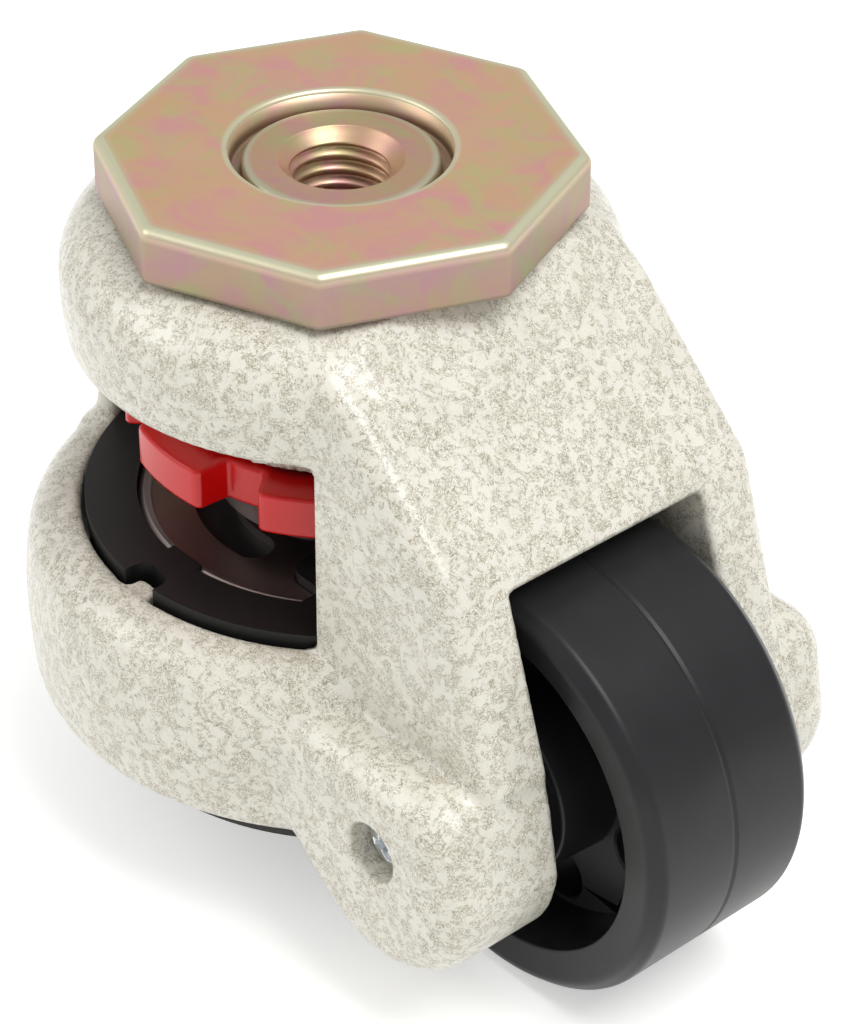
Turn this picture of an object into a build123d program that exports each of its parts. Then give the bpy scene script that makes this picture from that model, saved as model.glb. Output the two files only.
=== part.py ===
"""Levelling castor: a 50 mm swivel wheel beside a retractable foot, hung from a tapped octagonal plate.

The frame: origin on the swivel axis at the mouth of the tapped hole, +Z up, +X towards the wheel.
Heights in the lists below are measured up from the floor that the wheel stands on.
"""
from build123d import *
import math
import os

os.makedirs("parts", exist_ok=True)

# ---------------------------------------------------------------- driving dimensions (mm)
overall_height = 82.0       # floor to the top of the plate

# octagonal top plate
plate_across_flats = 48.6
plate_thickness = 6.4
plate_corner_round = 1.2
plate_edge_round = 0.7
recess_radius = 11.85       # round recess that the kingpin's head sits in
recess_depth = 3.0

# kingpin with its tapped hole
pin_head_radius = 10.5
pin_head_thickness = 1.6
pin_shank_radius = 8.6
pin_collar_radius = 14.5    # lower race of the swivel
pin_collar_thickness = 3.0
tap_radius = 5.1            # M12 x 1.75, cut to the tapping drill
tap_length = 12.0
tap_mouth_radius = 6.7      # countersunk mouth

# swivel bearing
upper_ball_radius = 2.0
upper_ball_ring_radius = 15.0
upper_ball_count = 14
lower_ball_radius = 1.6
lower_ball_ring_radius = 11.9
lower_ball_count = 12
ball_gap = 0.12             # running gap between a ball and the race it rolls over
swivel_gap = 0.5            # daylight between the plate and the head
seal_inner_radius = 17.7
seal_outer_radius = 19.3
seal_depth = 1.1

# wheel and axle
wheel_diameter = 50.0
wheel_width = 23.0
axle_offset = 37.5          # swivel axis to axle
tread_round = 1.6
rim_inner_radius = 19.8
web_thickness = 7.0
web_hole_count = 6
web_hole_radius = 3.4
web_hole_ring_radius = 15.2
hub_radius = 10.6
hub_width = 22.0
bearing_outer_radius = 8.0
bearing_race_wall = 1.3
bearing_width = 5.0
bearing_setback = 0.6       # depth of a bearing below the hub's end
shield_thickness = 0.4
shield_gap = 0.3            # shield to the inner ring that it runs past
press_fit = 0.02            # bearing ring to the bore that holds it
bore_fit = 0.02             # ring or washer to the sleeve through it
sleeve_radius = 4.0
bolt_radius = 2.5
bolt_fit = 0.05
bolt_end_length = 0.4       # shank showing past the nut
cross_width = 0.9           # cross recess in the head
cross_length = 3.6
cross_depth = 1.5
cross_turn = 20.0
bolt_head_radius = 3.1
bolt_head_height = 2.6
head_recess_radius = 3.4
head_recess_depth = 4.4
nut_across_flats = 8.0
nut_thickness = 4.0
nut_pocket_depth = 5.2

# housing
head_radius = 30.3          # widest part of the domed head
head_widest_drop = 14.5     # plate's top to the head's widest part
head_shoulder_radius = 28.7
head_edge_drop = 3.0        # height of the rounded top edge
head_top_radius = 24.4
lip_radius = 29.7
column_radius = 32.3        # outside of the column at the front
column_half_angle = 23.0
column_blend = 5.0          # how far the column's foot and head flare
ring_radius = 36.1          # widest part of the lower ring
ring_widest_drop = 10.65    # sill to the ring's widest part
ring_bottom_height = 16.8
ring_bottom_radius = 33.7
ring_foot_rise = 3.8        # height of the rounding at the ring's lower edge
ring_foot_bulge = 0.6       # how far that rounding stands out of a straight line
ring_side_draw = 0.3        # widest part to the top of that rounding
shoulder_set_back = 0.5     # widest part to the foot of the rounded shoulder
sill_shoulder_drop = 4.6    # height of the rounded shoulder under the windows
shoulder_drop = 1.4         # sill to the middle of that shoulder
shoulder_radius = 34.4
sill_drop = 1.2             # raised foot's top to the sill of the side windows
sill_outer_radius = 31.4
window_top_drop = 21.0      # plate's top to the windows' top edge
cheek_half_width = 21.5
cheek_round = 2.6
band_half_width = 28.4      # outer faces of the axle bosses
band_rise = 9.5             # axle to the top of the band
band_round = 4.5
band_rear_round = 5.0
band_root = 17.0            # axle to the front end of the band's slanted underside
band_rise_from_ring = 1.2   # band's underside above the ring's lower edge
boss_radius = 13.0
boss_drop = 2.5             # centre of the boss's outline below the axle
boss_front_angle = 155.0    # where the boss's round underside meets the band, from the rear
boss_throat_round = 3.0
slope_top_x = 20.6
slope_end_offset = 4.1      # axle to the slope's lower edge, along x
slope_end_rise = 1.2        # above the wheel opening
slope_top_round = 6.0
slope_end_round = 1.6
rear_low_offset = 10.8      # axle to the cheeks' rear face at the band's top
fork_half_gap = 13.5        # half the space between the cheeks
pocket_clearance = 2.0      # wheel to the pocket round it
mouth_clearance = 4.2       # top of the wheel to the top edge of its opening

# foot and its drive
foot_radius = 29.0
foot_fit = 0.4              # foot to the bore that guides it
foot_drop = 1.65            # drive nut's lower end to the top of the raised foot
foot_bottom_height = 11.0
foot_rim_inner_radius = 23.2
foot_rim_thickness = 2.4
foot_tab_width = 4.8        # the rim is thicker behind each key notch
foot_tab_depth = 1.0
foot_skirt_step = 0.3
foot_web_drop = 2.55
foot_web_thickness = 1.8
foot_slot_wall = 2.2        # wall round the wheel slot
foot_slot_round = 2.0
sole_thickness = 5.0
wheel_slot_clearance = 1.6  # foot to the tread in front of it
foot_travel = 15.0
key_width = 3.4             # ribs in the bore that stop the foot from turning
key_depth = 2.1
key_corner = 0.7            # rounding of a rib and of its notch, as a share of half its width
key_side_clearance = 0.7
key_end_clearance = 1.1
dish_chord_x = 14.4         # straight edge of the dish beside the wheel
dish_flat_radius = 21.5
dish_gap = 0.1              # dish to the rim round it
dish_rim_width = 1.4        # rolled rim
dish_rim_round = 0.4
dish_thickness = 1.2
dish_rim_drop = 0.45
kidney_ring_radius = 14.7
kidney_width = 4.6
kidney_half_angle = 27.0
kidney_count = 4
kidney_start_angle = -110.0
screw_radius = 7.0
screw_top_gap = 1.3         # kingpin to the raised screw
screw_pitch = 2.0
spigot_radius = 4.5
rivet_radius = 6.6
rivet_thickness = 1.8
rivet_washer_radius = 8.2
rivet_washer_thickness = 1.4

# thumbwheel
lobe_radius = 24.0
drum_radius = 20.3
lobe_count = 8
lobe_half_angle = 11.5
lobe_start_angle = -93.5
lobe_corner = 0.9           # chamfer at a lobe's outer corners
thumbwheel_drop = 7.85      # windows' top edge to the thumbwheel
thumbwheel_height = 4.9
thumbwheel_clearance = 0.4
drive_nut_radius = 14.5
drive_nut_reach = 7.25      # drive nut below the thumbwheel
drive_nut_flange_radius = 16.2
drive_nut_flange_thickness = 2.4
drive_nut_grip_radius = 16.4
grip_cover = 1.2            # plastic above and below the nut's hexagon
thread_gap = 0.1            # radial gap between the screw and its nut
socket_radius = 16.6
socket_wall = 3.2
step_radius = 15.0
clip_thickness = 1.2
clip_groove_depth = 1.2
clip_bite = 1.5
thrust_washer_thickness = 1.2
seat_gap = 0.1              # axial play of the drive nut

# ---------------------------------------------------------------- worked-out levels and sizes
mouth_height = overall_height - recess_depth


def level(height):
    """Z of a point that is this high above the floor."""
    return height - mouth_height


axle_height = wheel_diameter / 2
window_top_height = overall_height - window_top_drop
thumbwheel_top_height = window_top_height - thumbwheel_drop
thumbwheel_bottom_height = thumbwheel_top_height - thumbwheel_height
drive_nut_bottom_height = thumbwheel_bottom_height - drive_nut_reach
foot_top_height = drive_nut_bottom_height - foot_drop
foot_web_height = foot_top_height - foot_web_drop
dish_rim_height = foot_top_height - dish_rim_drop
sill_height = foot_top_height - sill_drop
head_widest_height = overall_height - head_widest_drop
ring_widest_height = sill_height - ring_widest_drop
band_top_height = axle_height + band_rise
mouth_top_height = wheel_diameter + mouth_clearance
slope_end_height = mouth_top_height + slope_end_rise
slope_end_x = axle_offset + slope_end_offset
rear_low_x = axle_offset + rear_low_offset
behind = axle_offset + wheel_diameter
plate_bottom = level(overall_height - plate_thickness)
head_top = plate_bottom - swivel_gap
plate_bore_radius = pin_shank_radius + 0.05

upper_ball_z = (plate_bottom + head_top) / 2
shoulder_bottom = head_top - 6.9
lower_ball_z = shoulder_bottom - swivel_gap / 2
collar_top = shoulder_bottom - swivel_gap
collar_bottom = collar_top - pin_collar_thickness
screw_top = collar_bottom - screw_top_gap
shank_bore_radius = pin_shank_radius + 1.2

washer_top = collar_bottom - 1.4
washer_bottom = washer_top - thrust_washer_thickness
nut_flange_top = washer_bottom - seat_gap
nut_flange_bottom = nut_flange_top - drive_nut_flange_thickness
clip_top = nut_flange_bottom - seat_gap
clip_bottom = clip_top - clip_thickness

chamber_top = level(window_top_height)
socket_bottom = level(thumbwheel_top_height) + thumbwheel_clearance
bore_radius = foot_radius + foot_fit
sill = level(sill_height)
shoulder_z = sill - shoulder_drop
column_top = chamber_top + 8.0
ring_bottom = level(ring_bottom_height)
band_bottom = ring_bottom + band_rise_from_ring
boss_z = level(axle_height - boss_drop)
axle_z = level(axle_height)
pocket_radius = wheel_diameter / 2 + pocket_clearance

foot_top = level(foot_top_height)
foot_bottom = level(foot_bottom_height)
skirt_radius = foot_radius - foot_skirt_step
slot_front = axle_offset - wheel_diameter / 2 - wheel_slot_clearance
slot_half_width = fork_half_gap - foot_fit
web_top = level(foot_web_height)
dish_floor = web_top + dish_thickness

# ---------------------------------------------------------------- top plate
plate_corner_radius = plate_across_flats / 2 / math.cos(math.pi / 8)

with BuildPart() as top_plate:
    with BuildSketch(Plane.XY.offset(plate_bottom)) as octagon:
        RegularPolygon(radius=plate_corner_radius, side_count=8)
        fillet(octagon.vertices(), radius=plate_corner_round)
    extrude(amount=plate_thickness)
    fillet(top_plate.faces().sort_by(Axis.Z)[-1].edges(), radius=plate_edge_round)
    chamfer(top_plate.faces().sort_by(Axis.Z)[0].edges(), length=0.35)
    with Locations((0, 0, plate_bottom + plate_thickness)):
        CounterBoreHole(
            radius=plate_bore_radius,
            counter_bore_radius=recess_radius,
            counter_bore_depth=recess_depth,
        )
    # groove for the upper row of balls
    with Locations((0, 0, upper_ball_z)):
        Torus(upper_ball_ring_radius, upper_ball_radius + ball_gap, mode=Mode.SUBTRACT)

top_plate.part.label = "top_plate"
export_step(top_plate.part, "parts/top_plate.step")

# ---------------------------------------------------------------- kingpin
with BuildPart() as kingpin:
    with BuildSketch(Plane.XZ) as kingpin_section:
        with BuildLine():
            Polyline(
                (0, collar_bottom),
                (pin_collar_radius, collar_bottom),
                (pin_collar_radius, collar_top),
                (pin_shank_radius, collar_top),
                (pin_shank_radius, 0),
                (pin_head_radius, 0),
                (pin_head_radius, pin_head_thickness),
                (0, pin_head_thickness),
                (0, collar_bottom),
            )
        make_face()
    revolve(axis=Axis.Z)
    fillet(kingpin.edges().filter_by(GeomType.CIRCLE).group_by(Axis.Z)[-1], radius=0.5)
    # tapped hole with its countersunk mouth
    with BuildSketch(Plane.XZ) as tapped_hole:
        with BuildLine():
            Polyline(
                (0, pin_head_thickness),
                (tap_mouth_radius, pin_head_thickness),
                (tap_radius, 0),
                (tap_radius, -tap_length),
                (0, -tap_length),
                (0, pin_head_thickness),
            )
        make_face()
    revolve(axis=Axis.Z, mode=Mode.SUBTRACT)
    # groove for the lower row of balls
    with Locations((0, 0, lower_ball_z)):
        Torus(lower_ball_ring_radius, lower_ball_radius + ball_gap, mode=Mode.SUBTRACT)

kingpin.part.label = "kingpin"
export_step(kingpin.part, "parts/kingpin.step")

# ---------------------------------------------------------------- housing, one aluminium casting
with BuildPart() as round_body:
    # domed head
    with BuildSketch(Plane.XZ) as head_outline:
        with BuildLine():
            Polyline((0, head_top), (0, chamber_top), (lip_radius, chamber_top))
            ThreePointArc(
                (lip_radius, chamber_top),
                (head_radius, level(head_widest_height)),
                (head_shoulder_radius, head_top - head_edge_drop),
            )
            ThreePointArc(
                (head_shoulder_radius, head_top - head_edge_drop),
                (head_shoulder_radius - head_edge_drop / 2, head_top - head_edge_drop / 3),
                (head_top_radius, head_top),
            )
            Line((head_top_radius, head_top), (0, head_top))
        make_face()
    revolve(axis=Axis.Z)
    # lower ring, with a rounded shoulder under the windows
    with BuildSketch(Plane.XZ) as ring_outline:
        with BuildLine():
            Polyline((0, sill), (0, ring_bottom), (ring_bottom_radius, ring_bottom))
            ThreePointArc(
                (ring_bottom_radius, ring_bottom),
                ((ring_bottom_radius + ring_radius) / 2 + ring_foot_bulge, ring_bottom + ring_foot_rise / 3),
                (ring_radius - ring_side_draw, ring_bottom + ring_foot_rise),
            )
            ThreePointArc(
                (ring_radius - ring_side_draw, ring_bottom + ring_foot_rise),
                (ring_radius, level(ring_widest_height)),
                (ring_radius - shoulder_set_back, sill - sill_shoulder_drop),
            )
            ThreePointArc(
                (ring_radius - shoulder_set_back, sill - sill_shoulder_drop),
                (shoulder_radius, shoulder_z),
                (sill_outer_radius, sill),
            )
            Line((sill_outer_radius, sill), (0, sill))
        make_face()
    revolve(axis=Axis.Z)
    # column that joins head and ring at the front
    with BuildSketch(Plane.XZ.rotated((0, 0, 180 - column_half_angle))) as column_outline:
        with BuildLine():
            Polyline(
                (shoulder_radius, shoulder_z),
                (lip_radius - 1, shoulder_z),
                (lip_radius - 1, column_top),
                (lip_radius, column_top),
            )
            ThreePointArc(
                (lip_radius, column_top),
                (column_radius - 0.3, chamber_top + 2.0),
                (column_radius, chamber_top - column_blend),
            )
            Line((column_radius, chamber_top - column_blend), (column_radius, sill + column_blend))
            ThreePointArc(
                (column_radius, sill + column_blend),
                (column_radius + 0.3, sill + column_blend / 3),
                (shoulder_radius, shoulder_z),
            )
        make_face()
    revolve(axis=Axis.Z, revolution_arc=2 * column_half_angle)

with BuildPart() as cheek_block:
    # sloped back of the head, running down to the wheel opening
    with BuildSketch(Plane.XZ) as cheek_outline:
        with BuildLine():
            Polyline(
                (0, head_top),
                (slope_top_x, head_top),
                (slope_end_x, level(slope_end_height)),
                (rear_low_x, level(band_top_height)),
                (rear_low_x, axle_z),
                (0, axle_z),
                (0, head_top),
            )
        make_face()
        fillet(cheek_outline.vertices().group_by(Axis.X)[1], radius=slope_top_round)
        fillet(cheek_outline.vertices().group_by(Axis.X)[3], radius=slope_end_round)
    extrude(amount=cheek_half_width, both=True)
    fillet(cheek_block.faces().group_by(Axis.Y)[0].edges(), radius=cheek_round)
    fillet(cheek_block.faces().group_by(Axis.Y)[-1].edges(), radius=cheek_round)



def boss_point(angle):
    """Point of the boss's round outline, this many degrees below its rearmost point."""
    turn = math.radians(angle)
    return (axle_offset + boss_radius * math.cos(turn), boss_z - boss_radius * math.sin(turn))


with BuildPart() as band_block:
    # broad band at axle height that ends in the two axle bosses
    with BuildSketch(Plane.XZ) as band_outline:
        with BuildLine():
            Line((0, level(band_top_height)), (rear_low_x, level(band_top_height)))
            Line((rear_low_x, level(band_top_height)), boss_point(0))
            ThreePointArc(boss_point(0), boss_point(90), boss_point(boss_front_angle))
            Polyline(
                boss_point(boss_front_angle),
                (axle_offset - band_root, band_bottom),
                (0, band_bottom),
                (0, level(band_top_height)),
            )
        make_face()
        fillet(band_outline.vertices().group_by(Axis.Y)[-1].sort_by(Axis.X)[-1], radius=band_rear_round)
        fillet(
            band_outline.vertices().sort_by_distance(boss_point(boss_front_angle))[0],
            radius=boss_throat_round,
        )
    extrude(amount=band_half_width, both=True)
    fillet(band_block.faces().group_by(Axis.Y)[0].edges(), radius=band_round)
    fillet(band_block.faces().group_by(Axis.Y)[-1].edges(), radius=band_round)

with BuildPart() as housing:
    add(round_body.part)
    # the head is cut back along the slope
    with BuildSketch(Plane.XZ) as above_slope:
        with BuildLine():
            Polyline(
                (slope_top_x, head_top),
                (slope_end_x, level(slope_end_height)),
                (behind, head_top + 1),
                (slope_top_x, head_top + 1),
                (slope_top_x, head_top),
            )
        make_face()
    extrude(amount=head_radius, both=True, mode=Mode.SUBTRACT)
    add(cheek_block.part)
    add(band_block.part)
    # guide bore of the foot, open above the ring as the chamber of the thumbwheel
    with BuildSketch(Plane.XY.offset(level(0))):
        Circle(bore_radius)
    extrude(amount=socket_bottom - level(0), mode=Mode.SUBTRACT)
    with BuildSketch(Plane.XY.offset(socket_bottom)):
        Circle(bore_radius)
        Circle(socket_radius + socket_wall, mode=Mode.SUBTRACT)
    extrude(amount=chamber_top - socket_bottom, mode=Mode.SUBTRACT)
    # stepped bore: drive nut below, kingpin collar above, shank through the shoulder
    with BuildSketch(Plane.XZ) as stepped_bore:
        with BuildLine():
            Polyline(
                (0, socket_bottom - 1),
                (socket_radius, socket_bottom - 1),
                (socket_radius, washer_top),
                (step_radius, washer_top),
                (step_radius, shoulder_bottom),
                (shank_bore_radius, shoulder_bottom),
                (shank_bore_radius, head_top + 1),
                (0, head_top + 1),
                (0, socket_bottom - 1),
            )
        make_face()
    revolve(axis=Axis.Z, mode=Mode.SUBTRACT)
    with BuildSketch(Plane.XY.offset(clip_bottom)):
        Circle(socket_radius + clip_groove_depth)
    extrude(amount=clip_thickness, mode=Mode.SUBTRACT)
    # ball grooves, and the seat of the dust seal
    with Locations((0, 0, upper_ball_z)):
        Torus(upper_ball_ring_radius, upper_ball_radius, mode=Mode.SUBTRACT)
    with Locations((0, 0, lower_ball_z)):
        Torus(lower_ball_ring_radius, lower_ball_radius, mode=Mode.SUBTRACT)
    with BuildSketch(Plane.XY.offset(head_top - seal_depth)):
        Circle(seal_outer_radius)
        Circle(seal_inner_radius, mode=Mode.SUBTRACT)
    extrude(amount=seal_depth, mode=Mode.SUBTRACT)
    # wheel pocket between the cheeks
    with BuildSketch(Plane.XZ) as pocket_outline:
        with BuildLine():
            Line((axle_offset - pocket_radius, level(0)), (axle_offset - pocket_radius, axle_z))
            RadiusArc(
                (axle_offset - pocket_radius, axle_z),
                (axle_offset, axle_z + pocket_radius),
                pocket_radius,
            )
            Polyline(
                (axle_offset, axle_z + pocket_radius),
                (slope_end_x + 1.2, level(mouth_top_height)),
                (behind, level(mouth_top_height)),
                (behind, level(0)),
                (axle_offset - pocket_radius, level(0)),
            )
        make_face()
    extrude(amount=fork_half_gap, both=True, mode=Mode.SUBTRACT)
    # axle holes: screw-head recess on one side, nut pocket on the other
    with BuildSketch(Plane.XZ):
        with Locations((axle_offset, axle_z)):
            Circle(bolt_radius + bolt_fit)
    extrude(amount=band_half_width + 1, both=True, mode=Mode.SUBTRACT)
    with BuildSketch(Plane.XZ.offset(band_half_width - head_recess_depth)):
        with Locations((axle_offset, axle_z)):
            Circle(head_recess_radius)
    extrude(amount=head_recess_depth + 1, mode=Mode.SUBTRACT)
    with BuildSketch(Plane.XZ.offset(-band_half_width - 1)):
        with Locations((axle_offset, axle_z)):
            RegularPolygon(radius=nut_across_flats / 2 + 0.1, side_count=6, major_radius=False)
    extrude(amount=nut_pocket_depth + 1, mode=Mode.SUBTRACT)
    # two keys in the bore
    with BuildSketch(Plane.XY.offset(ring_bottom + 1)) as keys:
        with Locations((0, bore_radius), (0, -bore_radius)):
            RectangleRounded(key_width, 2 * key_depth, radius=key_corner * key_width / 2)
    extrude(amount=sill - ring_bottom - 1)

housing.part.label = "housing"
export_step(housing.part, "parts/housing.step")

# ---------------------------------------------------------------- swivel balls, seal
with BuildPart() as upper_balls:
    with Locations((0, 0, upper_ball_z)):
        with PolarLocations(upper_ball_ring_radius, upper_ball_count):
            Sphere(upper_ball_radius)

upper_balls.part.label = "upper_balls"
export_step(upper_balls.part, "parts/upper_balls.step")

with BuildPart() as lower_balls:
    with Locations((0, 0, lower_ball_z)):
        with PolarLocations(lower_ball_ring_radius, lower_ball_count):
            Sphere(lower_ball_radius)

lower_balls.part.label = "lower_balls"
export_step(lower_balls.part, "parts/lower_balls.step")

with BuildPart() as dust_seal:
    with BuildSketch(Plane.XY.offset(head_top - seal_depth)):
        Circle(seal_outer_radius - 0.05)
        Circle(seal_inner_radius + 0.05, mode=Mode.SUBTRACT)
    extrude(amount=seal_depth + swivel_gap - 0.1)

dust_seal.part.label = "dust_seal"
export_step(dust_seal.part, "parts/dust_seal.step")

# ---------------------------------------------------------------- wheel
axle_axis = Axis((axle_offset, 0, axle_z), (0, 1, 0))
# a plane through the axle whose x is the wheel's radius and whose y runs along the axle
axle_section = Plane(origin=(axle_offset, 0, axle_z), x_dir=(1, 0, 0), z_dir=(0, 0, 1))

half_wheel = wheel_width / 2
half_web = web_thickness / 2
wheel_radius = wheel_diameter / 2

with BuildPart() as wheel:
    # tread, web and hub are one moulded section, drawn to the middle of the tread
    with BuildSketch(axle_section) as wheel_section:
        with BuildLine():
            Polyline(
                (wheel_radius, 0),
                (bearing_outer_radius, 0),
                (bearing_outer_radius, hub_width / 2),
                (hub_radius, hub_width / 2),
                (hub_radius + 0.4, half_web),
                (rim_inner_radius - 0.8, half_web),
                (rim_inner_radius, half_wheel - 0.5),
                (wheel_radius - tread_round, half_wheel),
            )
            ThreePointArc(
                (wheel_radius - tread_round, half_wheel),
                (wheel_radius - 0.4 * tread_round, half_wheel - 0.4 * tread_round),
                (wheel_radius, half_wheel - tread_round),
            )
            Line((wheel_radius, half_wheel - tread_round), (wheel_radius, 0))
        make_face()
        mirror(about=Plane.XZ)
    revolve(axis=axle_axis)
    # round lightening holes through the web
    with BuildSketch(Plane.XZ.offset(half_web + 1)):
        with Locations((axle_offset, axle_z)):
            with PolarLocations(web_hole_ring_radius, web_hole_count, start_angle=-20):
                Circle(web_hole_radius)
    extrude(amount=-web_thickness - 2, mode=Mode.SUBTRACT)
    # the middle of the hub stays smaller than the bearings, as a stop between them
    with BuildSketch(axle_section) as bearing_stop:
        with Locations((bearing_outer_radius - 0.5, 0)):
            Rectangle(1.0, hub_width - 2 * (bearing_width + bearing_setback))
    revolve(axis=axle_axis)

wheel.part.label = "wheel"
export_step(wheel.part, "parts/wheel.step")

# ---------------------------------------------------------------- wheel bearings, one each side
bearing_middle = hub_width / 2 - bearing_setback - bearing_width / 2
shield_middle = bearing_middle + bearing_width / 2 - shield_thickness / 2


def ring_pair(inner, outer, middle, width):
    """The section of a ring of this size in the bearing at each end of the hub."""
    for side in (1, -1):
        with Locations(((inner + outer) / 2, side * middle)):
            Rectangle(outer - inner, width)


with BuildPart() as bearing_outer_rings:
    with BuildSketch(axle_section):
        ring_pair(
            bearing_outer_radius - bearing_race_wall,
            bearing_outer_radius - press_fit,
            bearing_middle,
            bearing_width,
        )
    revolve(axis=axle_axis)

bearing_outer_rings.part.label = "bearing_outer_rings"
export_step(bearing_outer_rings.part, "parts/bearing_outer_rings.step")

with BuildPart() as bearing_inner_rings:
    with BuildSketch(axle_section):
        ring_pair(
            sleeve_radius + bore_fit,
            sleeve_radius + bearing_race_wall,
            bearing_middle,
            bearing_width,
        )
    revolve(axis=axle_axis)

bearing_inner_rings.part.label = "bearing_inner_rings"
export_step(bearing_inner_rings.part, "parts/bearing_inner_rings.step")

with BuildPart() as bearing_shields:
    # pressed washers that close the outer side of each bearing
    with BuildSketch(axle_section):
        ring_pair(
            sleeve_radius + bearing_race_wall + shield_gap,
            bearing_outer_radius - bearing_race_wall,
            shield_middle,
            shield_thickness,
        )
    revolve(axis=axle_axis)

bearing_shields.part.label = "bearing_shields"
export_step(bearing_shields.part, "parts/bearing_shields.step")

# ---------------------------------------------------------------- axle
with BuildPart() as axle_sleeve:
    with BuildSketch(Plane.XZ):
        with Locations((axle_offset, axle_z)):
            Circle(sleeve_radius)
            Circle(bolt_radius + bolt_fit, mode=Mode.SUBTRACT)
    extrude(amount=fork_half_gap, both=True)

axle_sleeve.part.label = "axle_sleeve"
export_step(axle_sleeve.part, "parts/axle_sleeve.step")

spacer_start = bearing_middle + bearing_width / 2

with BuildPart() as axle_spacers:
    # one washer between each bearing and its cheek
    for start in (spacer_start, -fork_half_gap):
        with BuildSketch(Plane.XZ.offset(start)):
            with Locations((axle_offset, axle_z)):
                Circle(sleeve_radius + bearing_race_wall)
                Circle(sleeve_radius + bore_fit, mode=Mode.SUBTRACT)
        extrude(amount=fork_half_gap - spacer_start)

axle_spacers.part.label = "axle_spacers"
export_step(axle_spacers.part, "parts/axle_spacers.step")

head_seat = band_half_width - head_recess_depth
nut_seat = band_half_width - nut_pocket_depth

with BuildPart() as axle_bolt:
    # shank from the nut's far face to the head
    with BuildSketch(Plane.XZ.offset(-nut_seat - nut_thickness - bolt_end_length)):
        with Locations((axle_offset, axle_z)):
            Circle(bolt_radius)
    extrude(amount=nut_seat + nut_thickness + bolt_end_length + head_seat)
    with BuildSketch(Plane.XZ.offset(head_seat)):
        with Locations((axle_offset, axle_z)):
            Circle(bolt_head_radius)
    extrude(amount=bolt_head_height)
    fillet(axle_bolt.edges().filter_by(GeomType.CIRCLE).group_by(Axis.Y)[0], radius=0.9)
    # cross recess
    with BuildSketch(Plane.XZ.offset(head_seat + bolt_head_height)):
        with Locations((axle_offset, axle_z)):
            Rectangle(cross_length, cross_width, rotation=cross_turn)
            Rectangle(cross_width, cross_length, rotation=cross_turn)
    extrude(amount=-cross_depth, taper=12, mode=Mode.SUBTRACT)

axle_bolt.part.label = "axle_bolt"
export_step(axle_bolt.part, "parts/axle_bolt.step")

with BuildPart() as axle_nut:
    with BuildSketch(Plane.XZ.offset(-nut_seat - nut_thickness)):
        with Locations((axle_offset, axle_z)):
            RegularPolygon(radius=nut_across_flats / 2, side_count=6, major_radius=False)
            Circle(bolt_radius, mode=Mode.SUBTRACT)
    extrude(amount=nut_thickness)

axle_nut.part.label = "axle_nut"
export_step(axle_nut.part, "parts/axle_nut.step")

# ---------------------------------------------------------------- drive nut and thumbwheel
thumbwheel_bottom = level(thumbwheel_bottom_height)
grip_bottom = thumbwheel_bottom + grip_cover
grip_height = thumbwheel_height - 2 * grip_cover

with BuildPart() as drive_nut:
    with BuildSketch(Plane.XZ) as drive_nut_section:
        with BuildLine():
            Polyline(
                (screw_radius + thread_gap, level(drive_nut_bottom_height)),
                (drive_nut_radius, level(drive_nut_bottom_height)),
                (drive_nut_radius, nut_flange_bottom),
                (drive_nut_flange_radius, nut_flange_bottom),
                (drive_nut_flange_radius, nut_flange_top),
                (screw_radius + thread_gap, nut_flange_top),
                (screw_radius + thread_gap, level(drive_nut_bottom_height)),
            )
        make_face()
    revolve(axis=Axis.Z)
    # hexagon band that the thumbwheel is moulded round
    with BuildSketch(Plane.XY.offset(grip_bottom)):
        RegularPolygon(radius=drive_nut_grip_radius, side_count=6)
        Circle(screw_radius + thread_gap, mode=Mode.SUBTRACT)
    extrude(amount=grip_height)

drive_nut.part.label = "drive_nut"
export_step(drive_nut.part, "parts/drive_nut.step")

with BuildPart() as thumbwheel:
    with BuildSketch(Plane.XY.offset(thumbwheel_bottom)) as lobes:
        Circle(drum_radius)
        with BuildSketch(mode=Mode.PRIVATE) as lobe:
            tip_half = lobe_radius * math.sin(math.radians(lobe_half_angle))
            Polygon(
                (drum_radius - 2, -tip_half - lobe_corner),
                (lobe_radius - 1, -tip_half - lobe_corner),
                (lobe_radius + 1, -tip_half + lobe_corner),
                (lobe_radius + 1, tip_half - lobe_corner),
                (lobe_radius - 1, tip_half + lobe_corner),
                (drum_radius - 2, tip_half + lobe_corner),
                align=None,
            )
            Circle(lobe_radius, mode=Mode.INTERSECT)
        with PolarLocations(0, lobe_count, start_angle=lobe_start_angle):
            add(lobe.sketch)
    extrude(amount=thumbwheel_height)
    fillet(thumbwheel.faces().sort_by(Axis.Z)[-1].edges(), radius=0.35)
    fillet(thumbwheel.faces().sort_by(Axis.Z)[0].edges(), radius=0.35)
    # moulded round the drive nut
    with BuildSketch(Plane.XY.offset(thumbwheel_bottom)):
        Circle(drive_nut_radius + 0.05)
    extrude(amount=thumbwheel_height, mode=Mode.SUBTRACT)
    with BuildSketch(Plane.XY.offset(grip_bottom)):
        RegularPolygon(radius=drive_nut_grip_radius, side_count=6)
    extrude(amount=grip_height, mode=Mode.SUBTRACT)

thumbwheel.part.label = "thumbwheel"
export_step(thumbwheel.part, "parts/thumbwheel.step")

with BuildPart() as thrust_washer:
    with BuildSketch(Plane.XY.offset(washer_bottom)):
        Circle(socket_radius - 0.3)
        Circle(screw_radius + 1.5, mode=Mode.SUBTRACT)
    extrude(amount=thrust_washer_thickness)

thrust_washer.part.label = "thrust_washer"
export_step(thrust_washer.part, "parts/thrust_washer.step")

with BuildPart() as retaining_ring:
    # internal circlip, open at one side, that holds the drive nut up
    with BuildSketch(Plane.XY.offset(clip_bottom)):
        Circle(socket_radius + clip_groove_depth - 0.1)
        Circle(socket_radius - clip_bite, mode=Mode.SUBTRACT)
        with Locations((0, socket_radius)):
            Rectangle(5, 6, mode=Mode.SUBTRACT)
    extrude(amount=clip_thickness)

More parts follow.
